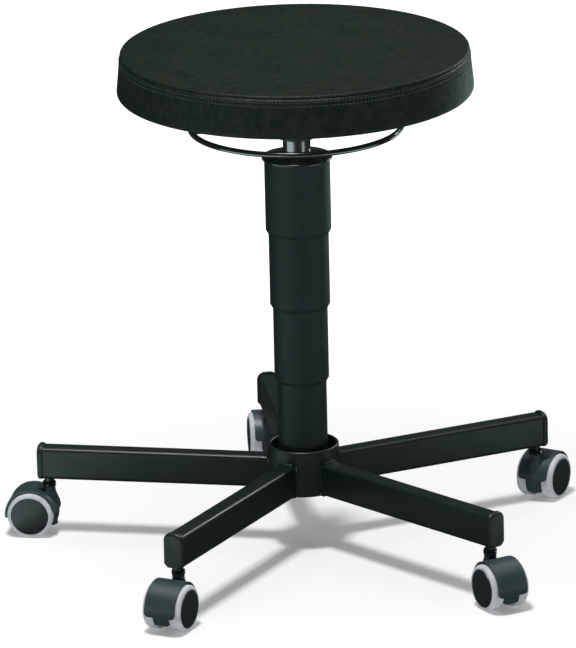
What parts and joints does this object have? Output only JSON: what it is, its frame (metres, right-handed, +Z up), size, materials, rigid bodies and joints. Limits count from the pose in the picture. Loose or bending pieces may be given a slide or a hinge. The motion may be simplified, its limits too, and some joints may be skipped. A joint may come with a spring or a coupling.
{
  "type": "rolling stool",
  "caption": "Round padded stool on a gas lift with a telescopic cover and a ring lever, rolling on a star base of straight tube arms with hooded twin-wheel casters.",
  "frame": {"origin": "on the floor under the column axis", "axes": "+Z up along the column, +Y along the rear arm of the base, +X to the right in the picture"},
  "size_m": [0.5938, 0.5738, 0.5255],
  "materials": {
    "seat_skin": "satin",
    "seat_foam": "matte",
    "seat_board": "matte",
    "powder_coat": "satin",
    "gloss_coat": "gloss",
    "cover_plastic": "matte",
    "cap_plastic": "gloss",
    "plug_plastic": "satin",
    "stem_steel": "gloss",
    "bright_steel": "satin",
    "bush_plastic": "matte",
    "stop_rubber": "matte",
    "caster_plastic": "satin",
    "tread_rubber": "matte"
  },
  "bodies": {
    "base": {"hub_shell": "powder_coat", "hub_socket": "powder_coat", "base_arms": "powder_coat", "arm_end_plugs": "plug_plastic", "stem_sleeves": "bright_steel", "caster_stems": "stem_steel", "column_tube": "powder_coat", "guide_bush": "bush_plastic", "thrust_race_lower": "bright_steel", "thrust_balls": "bright_steel"},
    "lift_rod": {"piston_rod": "bright_steel", "piston": "bright_steel", "thrust_race_upper": "bright_steel", "bump_stop": "stop_rubber", "rod_clip": "stem_steel"},
    "seat": {"pressure_cylinder": "bright_steel", "rod_guide": "bush_plastic", "cover_cap": "cap_plastic", "cover_upper": "cover_plastic", "seat_plate": "powder_coat", "seat_board": "seat_board", "seat_foam": "seat_foam", "seat_top_panel": "seat_skin", "seat_side_band": "seat_skin", "seat_bolts": "bright_steel", "seat_tee_nuts": "bright_steel"},
    "cover_middle": {"cover_middle": "cover_plastic"},
    "cover_lower": {"cover_lower": "cover_plastic"},
    "ring_lever": {"ring_lever": "gloss_coat"},
    "release_pin": {"release_pin": "bright_steel"},
    "caster_1": {"caster_1_hood": "caster_plastic", "caster_1_axle": "bright_steel"},
    "caster_1_wheel_left": {"caster_1_wheel_left": "caster_plastic", "caster_1_tread_left": "tread_rubber"},
    "caster_1_wheel_right": {"caster_1_wheel_right": "caster_plastic", "caster_1_tread_right": "tread_rubber"},
    "caster_2": {"caster_2_hood": "caster_plastic", "caster_2_axle": "bright_steel"},
    "caster_2_wheel_left": {"caster_2_wheel_left": "caster_plastic", "caster_2_tread_left": "tread_rubber"},
    "caster_2_wheel_right": {"caster_2_wheel_right": "caster_plastic", "caster_2_tread_right": "tread_rubber"},
    "caster_3": {"caster_3_hood": "caster_plastic", "caster_3_axle": "bright_steel"},
    "caster_3_wheel_left": {"caster_3_wheel_left": "caster_plastic", "caster_3_tread_left": "tread_rubber"},
    "caster_3_wheel_right": {"caster_3_wheel_right": "caster_plastic", "caster_3_tread_right": "tread_rubber"},
    "caster_4": {"caster_4_hood": "caster_plastic", "caster_4_axle": "bright_steel"},
    "caster_4_wheel_left": {"caster_4_wheel_left": "caster_plastic", "caster_4_tread_left": "tread_rubber"},
    "caster_4_wheel_right": {"caster_4_wheel_right": "caster_plastic", "caster_4_tread_right": "tread_rubber"},
    "caster_5": {"caster_5_hood": "caster_plastic", "caster_5_axle": "bright_steel"},
    "caster_5_wheel_left": {"caster_5_wheel_left": "caster_plastic", "caster_5_tread_left": "tread_rubber"},
    "caster_5_wheel_right": {"caster_5_wheel_right": "caster_plastic", "caster_5_tread_right": "tread_rubber"}
  },
  "joints": [
    {"name": "seat_swivel", "type": "hinge", "parent": "base", "child": "lift_rod", "pos_m": [0, 0, 0.07], "axis": [0, 0, 1], "continuous": true},
    {"name": "seat_height", "type": "slide", "parent": "lift_rod", "child": "seat", "axis": [0, 0, 1], "range_m": [-0.13, 0]},
    {"name": "cover_middle_slide", "type": "slide", "parent": "lift_rod", "child": "cover_middle", "axis": [0, 0, 1], "range_m": [-0.0975, 0]},
    {"name": "cover_lower_slide", "type": "slide", "parent": "lift_rod", "child": "cover_lower", "axis": [0, 0, 1], "range_m": [-0.065, 0]},
    {"name": "lever_tilt", "type": "hinge", "parent": "seat", "child": "ring_lever", "pos_m": [0.038, 0, 0.4762], "axis": [0, -1, 0], "range_deg": [0, 5], "stiffness_Nm_per_rad": 5, "springref_deg": -11.46},
    {"name": "pin_travel", "type": "slide", "parent": "seat", "child": "release_pin", "axis": [0, 0, 1], "range_m": [-0.0036, 0]},
    {"name": "caster_1_swivel", "type": "hinge", "parent": "base", "child": "caster_1", "pos_m": [0, 0.266, 0.047], "axis": [0, 0, 1], "continuous": true},
    {"name": "caster_1_wheel_left_spin", "type": "hinge", "parent": "caster_1", "child": "caster_1_wheel_left", "pos_m": [0.00078, 0.28398, 0.0235], "axis": [-0.999, 0.0436, 0], "continuous": true},
    {"name": "caster_1_wheel_right_spin", "type": "hinge", "parent": "caster_1", "child": "caster_1_wheel_right", "pos_m": [0.00078, 0.28398, 0.0235], "axis": [-0.999, 0.0436, 0], "continuous": true},
    {"name": "caster_2_swivel", "type": "hinge", "parent": "base", "child": "caster_2", "pos_m": [-0.25298, 0.0822, 0.047], "axis": [0, 0, 1], "continuous": true},
    {"name": "caster_2_wheel_left_spin", "type": "hinge", "parent": "caster_2", "child": "caster_2_wheel_left", "pos_m": [-0.27024, 0.08731, 0.0235], "axis": [-0.284, -0.9588, 0], "continuous": true},
    {"name": "caster_2_wheel_right_spin", "type": "hinge", "parent": "caster_2", "child": "caster_2_wheel_right", "pos_m": [-0.27024, 0.08731, 0.0235], "axis": [-0.284, -0.9588, 0], "continuous": true},
    {"name": "caster_3_swivel", "type": "hinge", "parent": "base", "child": "caster_3", "pos_m": [-0.15635, -0.2152, 0.047], "axis": [0, 0, 1], "continuous": true},
    {"name": "caster_3_wheel_left_spin", "type": "hinge", "parent": "caster_3", "child": "caster_3_wheel_left", "pos_m": [-0.16642, -0.23012, 0.0235], "axis": [0.829, -0.5592, 0], "continuous": true},
    {"name": "caster_3_wheel_right_spin", "type": "hinge", "parent": "caster_3", "child": "caster_3_wheel_right", "pos_m": [-0.16642, -0.23012, 0.0235], "axis": [0.829, -0.5592, 0], "continuous": true},
    {"name": "caster_4_swivel", "type": "hinge", "parent": "base", "child": "caster_4", "pos_m": [0.15635, -0.2152, 0.047], "axis": [0, 0, 1], "continuous": true},
    {"name": "caster_4_wheel_left_spin", "type": "hinge", "parent": "caster_4", "child": "caster_4_wheel_left", "pos_m": [0.16295, -0.23195, 0.0235], "axis": [0.9304, 0.3665, 0], "continuous": true},
    {"name": "caster_4_wheel_right_spin", "type": "hinge", "parent": "caster_4", "child": "caster_4_wheel_right", "pos_m": [0.16295, -0.23195, 0.0235], "axis": [0.9304, 0.3665, 0], "continuous": true},
    {"name": "caster_5_swivel", "type": "hinge", "parent": "base", "child": "caster_5", "pos_m": [0.25298, 0.0822, 0.047], "axis": [0, 0, 1], "continuous": true},
    {"name": "caster_5_wheel_left_spin", "type": "hinge", "parent": "caster_5", "child": "caster_5_wheel_left", "pos_m": [0.26406, 0.09638, 0.0235], "axis": [-0.788, 0.6157, 0], "continuous": true},
    {"name": "caster_5_wheel_right_spin", "type": "hinge", "parent": "caster_5", "child": "caster_5_wheel_right", "pos_m": [0.26406, 0.09638, 0.0235], "axis": [-0.788, 0.6157, 0], "continuous": true}
  ],
  "couplings": [
    {"joint": "cover_middle_slide", "follows": "seat_height", "ratio": 0.75},
    {"joint": "cover_lower_slide", "follows": "seat_height", "ratio": 0.5},
    {"joint": "pin_travel", "follows": "lever_tilt", "m_per_rad": -0.039}
  ]
}
